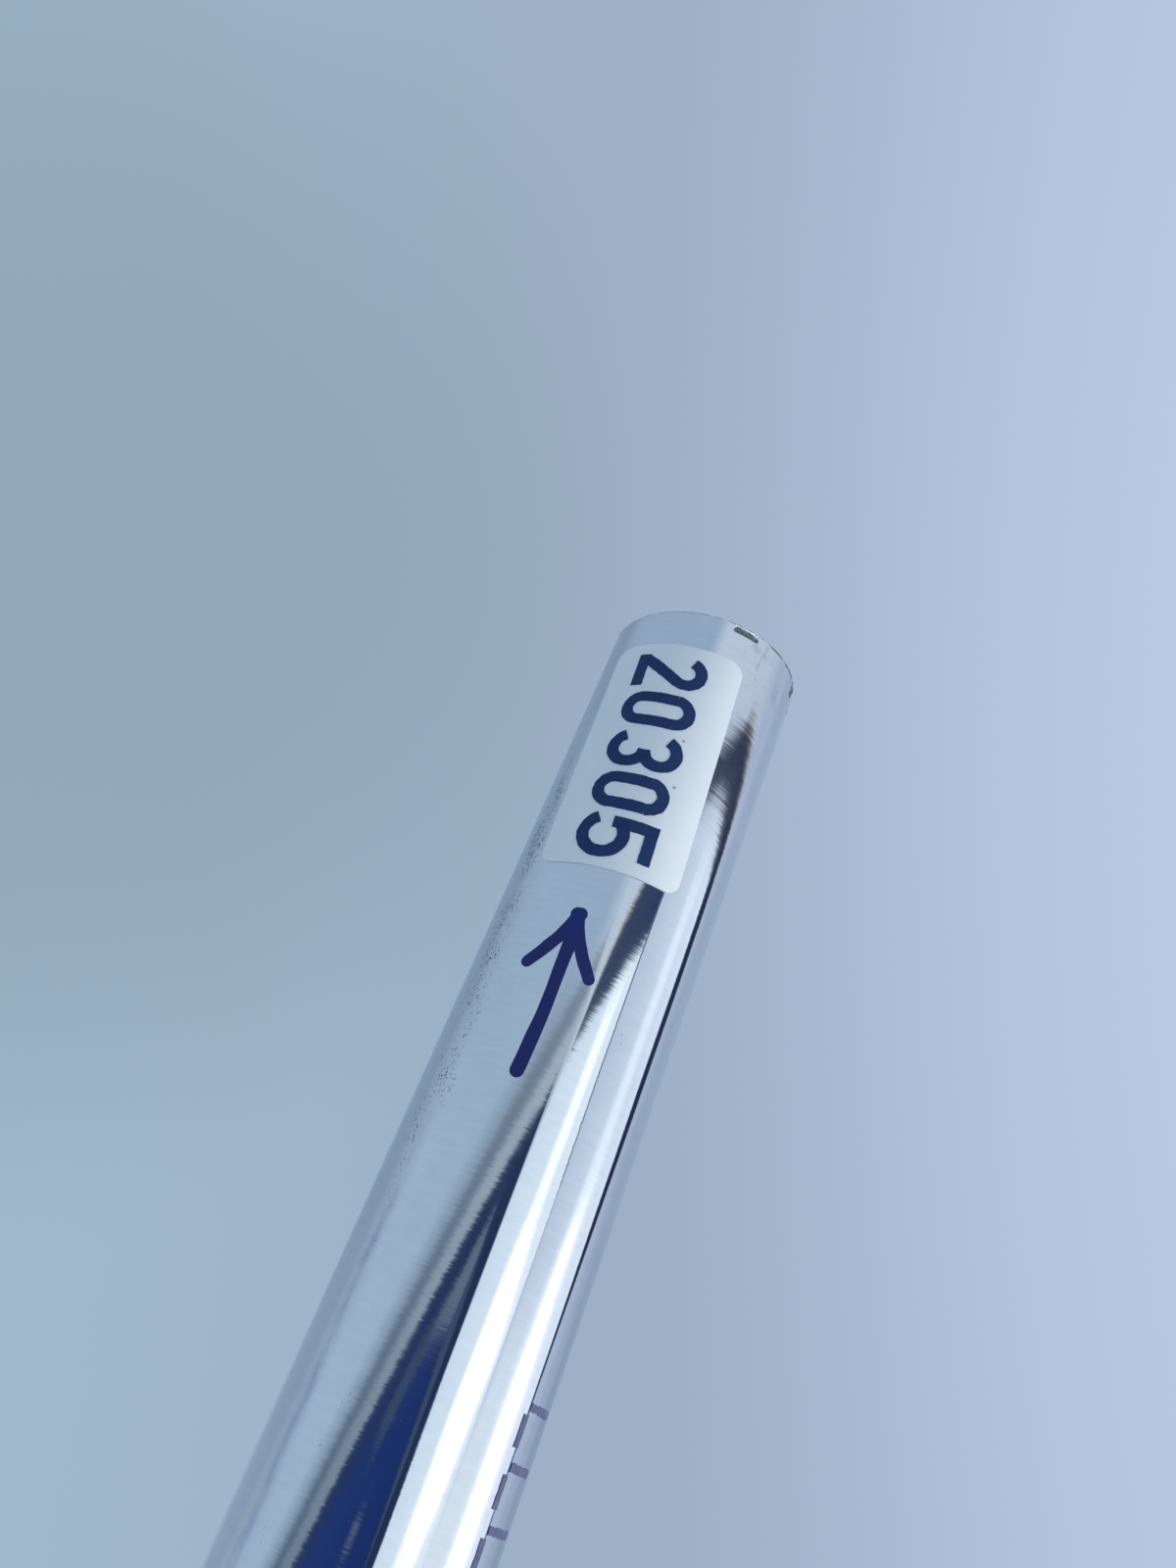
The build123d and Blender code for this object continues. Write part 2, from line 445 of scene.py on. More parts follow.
def round_corners(width, length, radius):
    """A rectangle about its middle, with its corners rounded in 8 short runs each."""
    points = []
    for across, up, start in ((1, 1, 0), (-1, 1, 90), (-1, -1, 180), (1, -1, 270)):
        for turn in range(9):
            angle = radians(start + 90 * turn / 8)
            x = across * (width / 2 - radius) + radius * cos(angle)
            y = up * (length / 2 - radius) + radius * sin(angle)
            points.append((x, y))
    return points


def turned(points, angle, shift=(0.0, 0.0)):
    """Flat points turned about the middle and then shifted."""
    along, up = cos(angle), sin(angle)
    return [(x * along - y * up + shift[0], x * up + y * along + shift[1]) for x, y in points]


def flat_sheet(outlines, gap, rag, seed):
    """Outlines filled with triangles: the points, the triangles, and how many outlines cover each."""
    corners = []
    loops = []
    for outline in outlines:
        start = len(corners)
        for x, y in outline_points(outline, gap):
            fray = Vector((x * 3.1 + seed[0], y * 3.1, seed[1] * 7))
            push_x = rag * noise.noise(fray)
            push_y = rag * noise.noise(fray + Vector((0, 0, 11)))
            corners.append(Vector((x + push_x, y + push_y)))
        loops.append(list(range(start, len(corners))))
    low_x, high_x = min(c.x for c in corners), max(c.x for c in corners)
    low_y, high_y = min(c.y for c in corners), max(c.y for c in corners)
    for column in range(1, ceil((high_x - low_x) / gap)):
        for row in range(1, ceil((high_y - low_y) / gap)):
            corners.append(Vector((low_x + column * gap, low_y + row * gap)))
    flat, _, sheets, _, _, sources = geometry.delaunay_2d_cdt(corners, [], loops, 0, 1e-5)
    kept = [(list(face), len(source)) for face, source in zip(sheets, sources) if source]
    used = sorted({corner for face, _ in kept for corner in face})
    index = {corner: number for number, corner in enumerate(used)}
    triangles = [tuple(index[corner] for corner in face) for face, _ in kept]
    return [flat[corner] for corner in used], triangles, [cover for _, cover in kept]


def wrapped_film(name, outlines, place, height, under, over, gap, raise_by=None, rag=0.0):
    """A thin closed film round the tube: flat outlines in mm, joined into one and given thickness."""
    flat, triangles, covers = flat_sheet(outlines, gap, rag, (place, height))
    top, bottom = [], []
    for x, y in flat:
        angle = place * mm / butt_radius + x * mm / butt_radius
        lift = raise_by(x, y) if raise_by else 0.0
        for side, radius in ((top, over + lift), (bottom, under + lift)):
            side.append((radius * sin(angle), -radius * cos(angle), height + y * mm))
    count = len(flat)
    faces = []
    layers = []
    edges = {}
    for (a, b, c), cover in zip(triangles, covers):
        faces.append((a, b, c))
        faces.append((c + count, b + count, a + count))
        layers.extend((cover, cover))
        for edge in ((a, b), (b, c), (c, a)):
            edges[edge] = cover
    for (a, b), cover in edges.items():
        if (b, a) not in edges:
            faces.append((b, a, a + count, b + count))
            layers.append(cover)
    made = build(name, top + bottom, faces)
    layer_mark = made.data.attributes.new("layers", "FLOAT", "FACE")
    layer_mark.data.foreach_set("value", np.array(layers, np.float32))
    return made


def label_lift(x, y):
    """The film's slight waves, and the hair by which its lower left corner lifts."""
    waves = 0.006 * noise.noise(Vector((x * 0.5, y * 0.35, 3)))
    corner = smooth(1 - hypot(x + label_width / 2, y + label_length / 2) / 2.2)
    return (waves - 0.006 + 0.004 * corner) * mm


sticker = wrapped_film(
    "sticker_film",
    [turned(round_corners(label_width, label_length, label_corner), label_turn)],
    label_place,
    label_height,
    under=butt_radius + 0.004 * mm,
    over=butt_radius + label_film,
    gap=0.3,
    raise_by=label_lift,
)


def sticker_paper():
    """White film with a soft sheen, faint cloudiness and a few specks of dirt."""
    cloudy_white = (0.785, 0.775, 0.78, 1)
    paper_white = (0.855, 0.84, 0.83, 1)
    dirt_black = (0.12, 0.13, 0.16, 1)
    finish, tree, shader = new_finish("label_film")
    place = put(tree, "TexCoord", output=3)
    clouds = grain(tree, place, (260, 260, 260), detail=4.0, roughness=0.6)
    fibres = grain(tree, place, (6500, 6500, 6500), detail=3.0, roughness=0.7)
    dirt = between(tree, cell_gap(tree, place, (330, 330, 330)), 0.05, 0.028)
    paper = blend_colours(tree, clouds, cloudy_white, paper_white)
    colour = blend_colours(tree, sums(tree, "MULTIPLY", dirt, 0.7), paper, dirt_black)
    tree.links.new(colour, shader.inputs["Base Color"])
    tree.links.new(between(tree, clouds, 0.3, 0.7, 0.36, 0.48), shader.inputs["Roughness"])
    shader.inputs["Specular IOR Level"].default_value = 0.35
    bump = put(tree, "Bump", {"Height": fibres, "Strength": 0.12, "Distance": 0.01 * mm})
    tree.links.new(bump, shader.inputs["Normal"])
    return finish


sticker.data.materials.append(sticker_paper())
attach(sticker, "root")
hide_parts("number_label")


# Printed figures: a plain stock number in heavy upright figures, thermal printed in blue-black on the
# sticker. They read down the shaft with their heads to the right, and their edges are slightly furred.
ink_film = 0.04 * mm
figure_height = 5.6
figure_width = 3.05
figure_stroke = 0.9
figure_pitch = 3.7           # from one figure's middle to the next
figure_row = -0.12           # the row's middle, across from the sticker's middle


def bar(middle_x, middle_y, width, height):
    """A straight upright or level stroke with square ends."""
    low_x, high_x = middle_x - width / 2, middle_x + width / 2
    low_y, high_y = middle_y - height / 2, middle_y + height / 2
    return [(low_x, low_y), (high_x, low_y), (high_x, high_y), (low_x, high_y)]


def ribbon(line, half_widths):
    """The outline of a stroke along a line of points, with its half width at each."""
    left, right = [], []
    for number, (x, y) in enumerate(line):
        before = line[max(0, number - 1)]
        after = line[min(len(line) - 1, number + 1)]
        run = hypot(after[0] - before[0], after[1] - before[1])
        across = (-(after[1] - before[1]) / run, (after[0] - before[0]) / run)
        half = half_widths[number]
        left.append((x + across[0] * half, y + across[1] * half))
        right.append((x - across[0] * half, y - across[1] * half))
    return right + left[::-1]


def bow(middle_x, middle_y, radius, start, sweep):
    """A round stroke, as part of a circle."""
    count = max(4, ceil(abs(sweep) / 9))
    line = []
    for number in range(count + 1):
        angle = radians(start + sweep * number / count)
        line.append((middle_x + radius * cos(angle), middle_y + radius * sin(angle)))
    return ribbon(line, [figure_stroke / 2] * len(line))


def figure_zero():
    radius = (figure_width - figure_stroke) / 2
    side = (figure_height - figure_width) / 2
    top = bow(0, side, radius, 0, 180)
    foot = bow(0, -side, radius, 180, 180)
    return [top, foot, bar(-radius, 0, figure_stroke, 2 * side), bar(radius, 0, figure_stroke, 2 * side)]


def figure_two():
    radius = (figure_width - figure_stroke) / 2
    middle_y = figure_height / 2 - figure_stroke / 2 - radius
    foot = -(figure_height - figure_stroke) / 2
    start = radians(-35)
    slope = [(radius * cos(start), middle_y + radius * sin(start)), (-radius, foot + figure_stroke / 4)]
    base = bar(0, foot, figure_width, figure_stroke)
    return [bow(0, middle_y, radius, -38, 203), ribbon(slope, [figure_stroke / 2] * 2), base]


def figure_three():
    radius = (figure_height - figure_stroke) / 4
    return [bow(0, radius, radius, -90, 250), bow(0, -radius, radius, 90, -250)]


def figure_five():
    radius = (figure_height - figure_stroke) / 4 + 0.25
    middle_y = -figure_height / 2 + figure_stroke / 2 + radius
    head = (figure_height - figure_stroke) / 2
    left = -figure_width / 2 + figure_stroke / 2
    back = bar(left, head / 2 + middle_y / 2 + figure_stroke / 2, figure_stroke, head - middle_y)
    return [bow(0, middle_y, radius, -155, 295), back, bar(0, head, figure_width, figure_stroke)]


figure_blue = (0.016, 0.040, 0.125)
figure_dark_blue = (0.011, 0.030, 0.11)
stock_figures = [figure_two(), figure_zero(), figure_three(), figure_zero(), figure_five()]
figure_outlines = []
for number, figure in enumerate(stock_figures):
    along = ((len(stock_figures) - 1) / 2 - number) * figure_pitch
    for stroke in figure:
        figure_outlines.append(turned(turned(stroke, -pi / 2, (figure_row, along)), label_turn))
printed_figures = wrapped_film(
    "sticker_print",
    figure_outlines,
    label_place,
    label_height,
    under=butt_radius + label_film - 0.03 * mm,
    over=butt_radius + label_film + ink_film,
    gap=0.2,
    rag=0.045,
)


def ink(name, thin, thick, roughness, gloss, mottle=0.25):
    """Ink that is a little uneven, with a thicker shade where one stroke lies on another."""
    finish, tree, shader = new_finish(name)
    place = put(tree, "TexCoord", output=3)
    patches = grain(tree, place, (700, 700, 700), detail=4.0, roughness=0.65)
    layers = put(tree, "Attribute", output=2, attribute_name="layers")
    share = sums(tree, "MULTIPLY_ADD", sums(tree, "SUBTRACT", layers, 1.0), 0.5, 0.25)
    share = swing(tree, patches, 2 * mottle, share)
    tree.links.new(blend_colours(tree, share, (*thin, 1), (*thick, 1)), shader.inputs["Base Color"])
    rough = between(tree, patches, 0.3, 0.7, roughness * 0.8, roughness * 1.2)
    tree.links.new(rough, shader.inputs["Roughness"])
    shader.inputs["Specular IOR Level"].default_value = gloss
    bump = put(tree, "Bump", {"Height": patches, "Strength": 0.15, "Distance": 0.01 * mm})
    tree.links.new(bump, shader.inputs["Normal"])
    return finish


figure_ink = ink("figure_ink", figure_blue, figure_dark_blue, roughness=0.55, gloss=0.15)
printed_figures.data.materials.append(figure_ink)
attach(printed_figures, "root")
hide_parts("label_figures")


# Marker arrow: drawn on the chrome by hand with a blue felt marker, in three pulls of the pen, to show
# which way the butt is. The ink lies glossy on the plating, and is bluer where two strokes cross.
arrow_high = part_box("marker_arrow")[1]
pen_width = 0.95
arrow_place = -1.75          # of its stem, round the tube from -Y towards +X
arrow_length = 11.2
arrow_half_span = 2.15
arrow_barb = 4.1             # how far the barbs come down from the point
arrow_point_height = arrow_high.z - pen_width / 2 * mm
hand_wander = 0.05           # how far a stroke's line and its width wander as the hand pulls it
stroke_gap = 0.35            # between the points along a stroke
marker_thin = (0.014, 0.020, 0.115)
marker_thick = (0.008, 0.022, 0.16)


def round_end(middle, radius, facing):
    """The points of a stroke's round end, from its right side to its left."""
    points = []
    for turn in range(1, 8):
        angle = facing + radians(-90 + 180 * turn / 8)
        points.append((middle[0] + radius * cos(angle), middle[1] + radius * sin(angle)))
    return points


def pen_stroke(start, end, bend, seed, widths):
    """One pull of the marker: a slightly bowed line with round ends and a width that wanders.

    widths are shares of the pen's width at the stroke's start, middle and end.
    """
    first, middle, last = widths
    run = hypot(end[0] - start[0], end[1] - start[1])
    along = ((end[0] - start[0]) / run, (end[1] - start[1]) / run)
    across = (-along[1], along[0])
    line, halves = [], []
    steps = ceil(run / stroke_gap)
    for step in range(steps + 1):
        share = step / steps
        bow_out = bend * 4 * share * (1 - share) + hand_wander * noise.noise(Vector((share * 4, seed, 0)))
        x = start[0] + along[0] * run * share + across[0] * bow_out
        y = start[1] + along[1] * run * share + across[1] * bow_out
        line.append((x, y))
        width = first + (middle - first) * smooth(share * 2) + (last - middle) * smooth(share * 2 - 1)
        halves.append(pen_width / 2 * (width + hand_wander * noise.noise(Vector((share * 7, seed, 5)))))
    outline = ribbon(line, halves)
    right, left = outline[: len(line)], outline[len(line):]
    facing = atan2(along[1], along[0])
    head = round_end(line[-1], halves[-1], facing)
    foot = round_end(line[0], -halves[0], facing)      # the same, facing back
    return right + head + left + foot


arrow_strokes = [
    pen_stroke((0.0, -0.2), (0.05, -arrow_length), 0.18, 1.0, (1.0, 0.88, 0.98)),
    pen_stroke((0.1, -0.02), (-arrow_half_span, -arrow_barb), 0.22, 2.0, (1.0, 0.92, 0.9)),
    pen_stroke((-0.1, -0.05), (arrow_half_span, -arrow_barb), -0.2, 3.0, (1.0, 0.9, 0.86)),
]
marker_arrow = wrapped_film(
    "pen_arrow",
    arrow_strokes,
    arrow_place,
    arrow_point_height,
    under=butt_radius - 0.01 * mm,
    over=butt_radius + ink_film,
    gap=0.25,
)
marker_ink = ink("marker_ink", marker_thin, marker_thick, roughness=0.3, gloss=0.25)
marker_arrow.data.materials.append(marker_ink)
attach(marker_arrow, "root")
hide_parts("marker_arrow")


# Printed dashes: a row of thin violet-blue marks jet-printed along the shaft on its right side, each
# with a cross tick. They say nothing, and their ink is thin and patchy.
dash_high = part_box("code_dashes")[1]
dash_place = 6.85            # of the dashes, round the tube from -Y towards +X
dash_pitch = 3.1
dash_count = 8
dash_stroke = 0.45
dash_length = 1.7
tick_length = 2.7
tick_gap = 0.35              # a tick starts half of this to the right of its dash's middle
dash_first_height = dash_high.z - dash_stroke / 2 * mm
dash_pale = (0.115, 0.12, 0.22)
dash_dark = (0.045, 0.047, 0.125)
dash_outlines = []
for number in range(dash_count):
    start = -number * dash_pitch
    dash_outlines.append(bar(0, start - dash_stroke - dash_length / 2, dash_stroke, dash_length))
    dash_outlines.append(bar((tick_length + tick_gap) / 2, start, tick_length, dash_stroke))
code_print = wrapped_film(
    "code_print",
    dash_outlines,
    dash_place,
    dash_first_height,
    under=butt_radius - 0.01 * mm,
    over=butt_radius + ink_film,
    gap=0.2,
    rag=0.06,
)
dash_ink = ink("dash_ink", dash_pale, dash_dark, roughness=0.5, gloss=0.3, mottle=0.7)
code_print.data.materials.append(dash_ink)
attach(code_print, "root")
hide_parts("code_dashes")


# Floor and sweep: a plain pale floor of matt paint that fades out towards its edge, and a pale blue sweep
# all round it. The sweep is lighter to the right, and has one soft shade behind the butt's upper left.
floor_radius = 4.0
floor_rings = 24
floor_sides = 96
floor_points = [(0.0, 0.0, 0.0)]
for ring in range(1, floor_rings + 1):
    reach = floor_radius * ring / floor_rings
    for side in range(floor_sides):
        turn = 2 * pi * side / floor_sides
        floor_points.append((reach * cos(turn), reach * sin(turn), 0.0))
floor_faces = [(0, 1 + side, 1 + (side + 1) % floor_sides) for side in range(floor_sides)]
for ring in range(floor_rings - 1):
    inner = 1 + ring * floor_sides
    outer = inner + floor_sides
    for side in range(floor_sides):
        beside = (side + 1) % floor_sides
        floor_faces.append((inner + side, outer + side, outer + beside, inner + beside))
floor = build("studio_floor", floor_points, floor_faces)


def floor_paint():
    """Matt paint, faintly mottled, that turns clear towards the floor's edge."""
    floor_grey = (0.60, 0.63, 0.66, 1)
    floor_pale = (0.66, 0.69, 0.72, 1)
    finish, tree, shader = new_finish("floor_paint")
    place = put(tree, "TexCoord", output=3)
    mottle = grain(tree, place, (9, 9, 9), detail=5.0)
    tree.links.new(blend_colours(tree, mottle, floor_grey, floor_pale), shader.inputs["Base Color"])
    shader.inputs["Roughness"].default_value = 0.8
    away = put(tree, "VectorMath", {0: place}, output=1, operation="LENGTH")
    fade = between(tree, away, 0.45 * floor_radius, 0.98 * floor_radius)
    mixed = put(tree, "MixShader", {0: fade, 1: shader.outputs[0], 2: put(tree, "BsdfTransparent")})
    tree.links.new(mixed, tree.nodes["Material Output"].inputs["Surface"])
    return finish


floor.data.materials.append(floor_paint())

sweep_left = (0.355, 0.485, 0.610, 1)
sweep_middle = (0.335, 0.430, 0.555, 1)
sweep_right = (0.490, 0.590, 0.775, 1)
sweep_shade = (0.215, 0.305, 0.385, 1)
sweep_front = (0.45, 0.61, 0.77, 1)
sweep_front_top = (0.385, 0.525, 0.690, 1)
lighter_side = Vector((0.93, -0.14, 0.34))
shaded_side = (-0.52, 0.74, 0.43)
world = bpy.data.worlds.new("studio")
bpy.context.scene.world = world
world.use_nodes = True
sky = world.node_tree
looking = put(sky, "TexCoord", output=0)


def facing_share(side):
    """How squarely a direction faces a side: 1 straight at it, and -1 straight away."""
    return put(sky, "VectorMath", {0: looking, 1: side}, output=1, operation="DOT_PRODUCT")


sideways = facing_share(lighter_side)
behind = blend_colours(sky, between(sky, sideways, -0.45, 0.02), sweep_left, sweep_middle)
behind = blend_colours(sky, between(sky, sideways, -0.02, 0.50), behind, sweep_right)
shade_share = between(sky, facing_share(shaded_side), 0.86, 1.0, 0.0, 0.5)
behind = blend_colours(sky, shade_share, behind, sweep_shade)
height_share = between(sky, facing_share((0, 0, 1)), 0.05, 0.6)
before = blend_colours(sky, height_share, sweep_front, sweep_front_top)
front_share = between(sky, facing_share((0, -1, 0)), -0.40, 0.12)
sky.links.new(blend_colours(sky, front_share, behind, before), sky.nodes["Background"].inputs["Color"])


# Reflection cards: thin bright and dark sheets on a wide ring round the butt, seen only in the chrome. On
# the right are two tall windows under dark flags, in front a dark wedge, and on the left grey shades.
# Each card is curved and its edge fades, and they hang in layers, so that a nearer one covers the rest.
card_reach = 6.0
layer_gap = 0.02
card_centre = Vector((0, 0, shaft_length - 35 * mm))


def distance_inside(points, outline):
    """How far points lie inside a closed outline, in degrees: negative outside it."""
    nearest = np.full(len(points), 1e9)
    inside = np.zeros(len(points), bool)
    corners = np.array(outline, float)
    for start, end in zip(corners, np.roll(corners, -1, axis=0)):
        run = end - start
        share = np.clip(((points - start) @ run) / (run @ run), 0, 1)
        gap = points - start - share[:, None] * run
        nearest = np.minimum(nearest, np.hypot(gap[:, 0], gap[:, 1]))
        crosses = (start[1] > points[:, 1]) != (end[1] > points[:, 1])
        rise = run[1] if run[1] else 1e-9
        meets = start[0] + (points[:, 1] - start[1]) / rise * run[0]
        inside ^= crosses & (points[:, 0] < meets)
    return np.where(inside, nearest, -nearest)


def hang_card(name, layer, outline, colour, soft, far_colour=None, strength=1.0, gap=None):
    """A curved card of one colour, or two from left to right, whose edge is soft over some degrees.

    Its outline's corners are (degrees round from -Y towards +X, degrees up) as seen from the butt. A card
    of a higher layer hangs nearer. gap is the size of its mesh's squares, if the soft edge doesn't set it.
    """
    corners = np.array(outline, float)
    low = corners.min(0) - soft
    high = corners.max(0) + soft
    step = gap or max(0.25, soft / 3)
    across = np.arange(low[0], high[0] + step, step)
    upward = np.arange(low[1], high[1] + step, step)
    grid = np.array([(turn, rise) for rise in upward for turn in across])
    cover = np.clip(distance_inside(grid, outline) / (2 * soft) + 0.5, 0, 1)
    cover = strength * cover * cover * (3 - 2 * cover)
    turn, rise = np.radians(grid[:, 0]), np.radians(grid[:, 1])
    level = np.cos(rise)
    points = np.stack([np.sin(turn) * level, -np.cos(turn) * level, np.sin(rise)], -1)
    points *= card_reach - layer_gap * layer
    wide = len(across)
    faces = []
    for row in range(len(upward) - 1):
        for column in range(wide - 1):
            corner = row * wide + column
            square = (corner, corner + 1, corner + wide + 1, corner + wide)
            if any(cover[point] > 0 for point in square):
                faces.append(square)
    card = build(name, points, faces)
    card.location = card_centre
    along = np.clip((grid[:, 0] - corners[:, 0].min()) / np.ptp(corners[:, 0]), 0, 1)[:, None]
    shade = np.array(colour) * (1 - along) + np.array(far_colour or colour) * along
    paint = card.data.attributes.new("paint", "FLOAT_COLOR", "POINT")
    paint.data.foreach_set("color", np.column_stack([shade, cover]).astype(np.float32).ravel())
    card.data.materials.append(card_glow)
    card.visible_camera = False
    card.visible_diffuse = False
    card.visible_shadow = False
    card.visible_transmission = False
    card.visible_volume_scatter = False


card_glow, card_tree, _ = new_finish("card_glow")
card_paint = card_tree.nodes.new("ShaderNodeAttribute")
card_paint.attribute_name = "paint"
card_light = put(card_tree, "Emission", {"Color": card_paint.outputs["Color"]})
card_clear = put(card_tree, "BsdfTransparent")
card_mixed = put(card_tree, "MixShader", {0: card_paint.outputs["Alpha"], 1: card_clear, 2: card_light})
card_tree.links.new(card_mixed, card_tree.nodes["Material Output"].inputs["Surface"])


def wedge_line(above, *turns):
    """Points at a height above the wedge's long edge, which bows a little, at some degrees round."""
    return [(turn, 12.55 + 0.312 * turn - 0.0021 * turn * turn + above) for turn in turns]


hang_card(
    "grey_shade",
    1,
    [(-75, -30)] + wedge_line(11.5, -75, -55, -40, -25, -12) + [(2, 19), (13, 16), (13, -30)],
    (0.20, 0.28, 0.39),
    soft=4.5,
    far_colour=(0.34, 0.43, 0.54),
    strength=0.85,
)
hang_card(
    "upper_glow",
    1,
    [(6, 16), (5, 26), (5, 60), (40, 70), (75, 60), (85, 46), (100, 34), (104, 25), (60, 20), (20, 15)],
    (0.66, 0.77, 0.90),
    soft=9.0,
    far_colour=(0.60, 0.70, 0.84),
)
hang_card(
    "right_rim",
    1,
    [(122, -30), (120, 45), (195, 45), (195, -30)],
    (0.40, 0.51, 0.67),
    soft=7.0,
    far_colour=(0.325, 0.435, 0.57),
)
right_low_corners = [(136, -30), (136, 9), (162, 9), (162, -30)]
hang_card("right_low_shade", 2, right_low_corners, (0.305, 0.40, 0.54), soft=7.0)
left_rim_corners = [(-202, -30), (-202, 55), (-155, 55), (-155, -30)]
hang_card("left_rim", 1, left_rim_corners, (0.385, 0.515, 0.645), soft=6.0)
left_shade_corners = [(-154, 4), (-154, 55), (-112, 55), (-118, 4)]
hang_card("left_shade", 2, left_shade_corners, (0.27, 0.38, 0.525), soft=12.0)
left_low_corners = [(-145, -30), (-150, 4), (-118, 4), (-118, -30)]
hang_card("left_shade_low", 2, left_low_corners, (0.33, 0.44, 0.595), soft=6.0)

hang_card(
    "grey_core",
    2,
    wedge_line(4.0, -70, -45, -20, 12) + wedge_line(8.2, 8, -20, -45, -70),
    (0.09, 0.15, 0.23),
    soft=1.7,
    far_colour=(0.24, 0.30, 0.38),
    strength=0.9,
)
hang_card(
    "pale_band",
    3,
    wedge_line(-1, -75, -45, -15, 12) + wedge_line(3.8, 13, -15, -45, -75),
    (0.12, 0.18, 0.25),
    soft=0.8,
    far_colour=(0.50, 0.60, 0.70),
)
hang_card(
    "navy_wedge",
    4,
    [(-60, -30)] + wedge_line(0, -60, -45, -30, -15, 0, 11.8) + [(13.3, 2), (15.6, -4), (16.4, -30)],
    (0.026, 0.052, 0.16),
    soft=0.7,
    far_colour=(0.020, 0.038, 0.10),
)
hang_card(
    "blue_core",
    5,
    [(-52, -30), (-40, -7), (-16, 2.4), (-6, 4.2), (0, 3.8), (4, 1.6), (9, -6), (10, -30)],
    (0.022, 0.055, 0.22),
    soft=1.6,
    far_colour=(0.013, 0.036, 0.165),
)
arch_glow_outside = [(-22, -0.5), (-16, 3.2), (-10, 5.0), (-6, 6.3), (-1.5, 8), (3, 9.8), (5, 7.5)]
arch_glow_outside += [(6.5, 5.5), (7.8, 3.5), (9.5, -1), (10, -6)]
arch_glow_inside = [(6.5, -2), (4.5, 2), (2, 3.9), (-1.5, 4.1), (-6, 3.4), (-10.5, 1.8), (-16, -1.5)]
hang_card(
    "grey_arch",
    6,
    arch_glow_outside + arch_glow_inside,
    (0.055, 0.090, 0.165),
    soft=0.8,
    far_colour=(0.058, 0.098, 0.175),
    strength=0.9,
)
arch_glow_top = [(-10, 4.0), (-5, 6.0), (-1, 8.2), (2.6, 9.0)]
arch_glow_top += [(3.8, 7.4), (3, 5.2), (1.5, 4.2), (-4, 3.9)]
hang_card("grey_arch_top", 7, arch_glow_top, (0.145, 0.20, 0.29), soft=0.9)
grey_spot_corners = [(-12.5, -4.3), (-9, -3.8), (-5.5, -4.2), (-9, -4.7)]
hang_card("grey_spot", 7, grey_spot_corners, (0.17, 0.21, 0.28), soft=0.5)

left_window_side = [(16.4, -30), (15.6, -4), (13.4, 3), (13.0, 12)]
left_window_top = [(15.2, 17.6), (20, 18.8), (28, 20.2), (36, 21.9), (48.5, 23.6)]
hang_card(
    "left_window",
    3,
    left_window_side + left_window_top + [(52.6, 12), (54.5, 0), (55, -30)],
    (0.80, 0.96, 1.10),
    soft=0.8,
    far_colour=(1.02, 1.14, 1.24),
    gap=0.3,
)
hang_card(
    "left_window_strip",
    5,
    [(32, -30), (31, 2), (31, 7), (34, 10), (34.5, 20)]
    + [(42.5, 21), (43, 10), (46, 6), (47, 0), (44, -30)],
    (1.45, 1.55, 1.58),
    soft=2.6,
    strength=0.85,
)
left_blob_corners = [(31, 1), (34, 8), (44, 7.5), (50, 4), (49, -1), (38, -5)]
hang_card("left_window_blob", 6, left_blob_corners, (1.9, 1.9, 1.85), soft=3.0)
hang_card(
    "window_frame",
    7,
    [(48.0, 29), (49.5, 29), (50.0, 22), (51.2, 17), (53.4, 11.5), (52.5, 11.5), (50.1, 17), (48.9, 22)],
    (0.02, 0.03, 0.08),
    soft=0.4,
)
frame_end_corners = [(52.2, 13), (53.6, 13), (54.6, 6), (54.0, 6)]
hang_card("window_frame_end", 7, frame_end_corners, (0.40, 0.46, 0.56), soft=0.5, strength=0.6)
right_window_top = [(49, 22), (48.5, 31), (58, 31.5), (70, 32.5), (85, 32), (97, 30), (104, 27)]
right_window_side = [(105.4, 20), (106, 12), (107.6, 6), (108.6, -30)]
hang_card(
    "right_window",
    2,
    [(52.5, -30), (52.5, 12)] + right_window_top + right_window_side,
    (0.62, 0.74, 0.91),
    soft=0.8,
    far_colour=(0.94, 1.06, 1.22),
    gap=0.3,
)
right_window_low_corners = [(53, -30), (53, -2), (58, 5), (75, 6), (76, -30)]
hang_card("right_window_low", 3, right_window_low_corners, (0.88, 1.0, 1.1), soft=4.0)
hang_card(
    "right_window_strip",
    4,
    [(72, -30), (73, 4), (79, 14), (80, 27), (90, 27), (91, 14), (99, 4), (101, -30)],
    (1.12, 1.24, 1.36),
    soft=4.0,
    strength=0.8,
)
right_blob_corners = [(76, -30), (77, 2), (80, 9), (88, 10), (93, 3), (98, -30)]
hang_card("right_window_blob", 5, right_blob_corners, (1.85, 1.85, 1.8), soft=3.2)

top_flag_edge_corners = [(15.2, 17.5), (15.6, 21), (18.8, 24.4), (25, 27), (30, 29), (34, 27), (20, 19)]
hang_card("top_flag_edge", 4, top_flag_edge_corners, (0.36, 0.35, 0.34), soft=0.9)
top_flag_outside = [(15.8, 17.8), (16.6, 20.8), (20.4, 24), (26, 26.4), (31, 28.2), (48.2, 28.6)]
top_flag_inside = [(48.6, 23.7), (36, 21.9), (28, 20.2), (20, 18.8)]
hang_card(
    "top_flag",
    8,
    top_flag_outside + top_flag_inside,
    (0.055, 0.085, 0.15),
    soft=0.7,
    far_colour=(0.028, 0.052, 0.135),
)
arch_top = [(45, 33.4), (56, 34), (66, 34.6), (74, 35.1), (80, 35.3), (87, 34.9), (94, 34.0)]
arch_shoulder = [(98.5, 33.2), (103.2, 32.3), (107.4, 31.0), (111, 29.0), (113.2, 26.2)]
arch_leg = [(113.8, 22), (113.4, 16), (112.2, 10), (110.9, 5), (109.9, 0), (109.4, -8)]
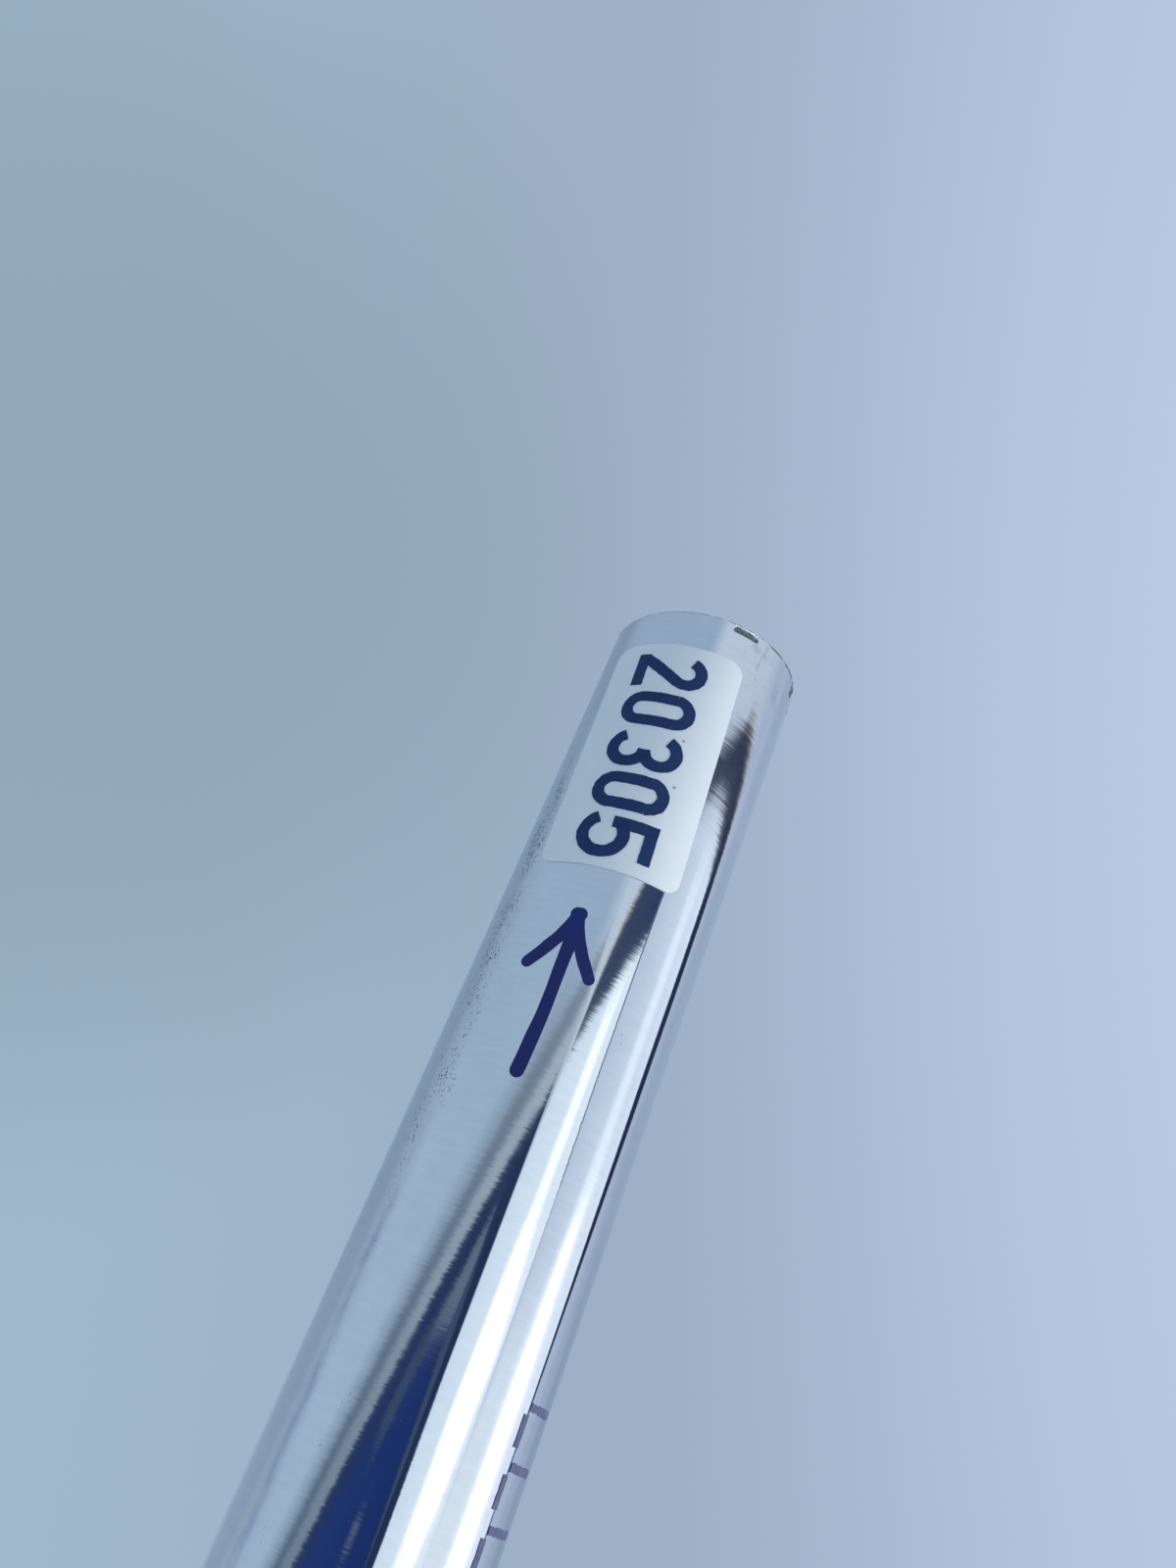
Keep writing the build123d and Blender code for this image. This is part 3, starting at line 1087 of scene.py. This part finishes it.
arch_outside = arch_top + arch_shoulder + arch_leg
arch_inside = [(108.9, -8), (108.4, 2), (107.4, 7), (106.3, 11), (105.4, 17), (105.2, 24), (103.6, 27.4)]
arch_inside += [(98, 28.9), (90, 30.4), (80, 31.4), (70, 31.6), (58, 31.0), (45, 29.9)]
arch_edge = [(turn, rise + 0.55) for turn, rise in arch_top[3:] + arch_shoulder] + [(106, 27), (96, 31)]
hang_card("arch_flag_edge", 4, arch_edge, (0.36, 0.30, 0.26), soft=0.7)
hang_card(
    "arch_flag",
    8,
    arch_outside + arch_inside,
    (0.030, 0.045, 0.095),
    soft=0.7,
    far_colour=(0.022, 0.034, 0.08),
)


# Key lamp: a large soft panel on the right and a little above the butt, faintly warm, that lights the
# sticker and the inks. It doesn't show in the chrome, where the window cards stand for it.
key_lamp = bpy.data.lights.new("key_lamp", "AREA")
key_lamp.shape = "RECTANGLE"
key_lamp.size = 1.1
key_lamp.size_y = 1.4
key_lamp.energy = 22.0
key_lamp.color = (1.0, 0.985, 0.90)
key_holder = bpy.data.objects.new("key_lamp", key_lamp)
key_turn = radians(82)
key_rise = radians(14)
key_reach = 1.6
key_side = Vector((sin(key_turn) * cos(key_rise), -cos(key_turn) * cos(key_rise), sin(key_rise)))
key_holder.location = card_centre + key_reach * key_side
key_holder.rotation_mode = "QUATERNION"
key_holder.rotation_quaternion = (card_centre - key_holder.location).to_track_quat("-Z", "Y")
key_holder.visible_glossy = False
bpy.context.scene.collection.objects.link(key_holder)


# Camera: held close in front of the shaft, below the rim, looking up at the sticker and rolled a little
# to the left. Colours are shown as they are, with no film curve.
camera_distance = 78.88 * mm
camera_drop = 58.68 * mm
looking_along = Vector((-0.0556, 0.8673, 0.4947))
nearly_up = Vector((-0.3642, -0.479, 0.7987))
bpy.context.scene.view_settings.view_transform = "Standard"
camera_data = bpy.data.cameras.new("close_camera")
camera_data.lens = 27.05
camera_data.sensor_width = 36
camera_data.clip_start = 0.005
camera_data.clip_end = 60
camera = bpy.data.objects.new("close_camera", camera_data)
camera_back = -looking_along.normalized()
camera_right = nearly_up.cross(camera_back).normalized()
camera_up = camera_back.cross(camera_right)
turned_axes = Matrix((camera_right, camera_up, camera_back)).transposed().to_4x4()
camera_place = Matrix.Translation((0, -camera_distance, shaft_length - camera_drop))
camera.matrix_world = camera_place @ turned_axes
bpy.context.scene.collection.objects.link(camera)
bpy.context.scene.camera = camera
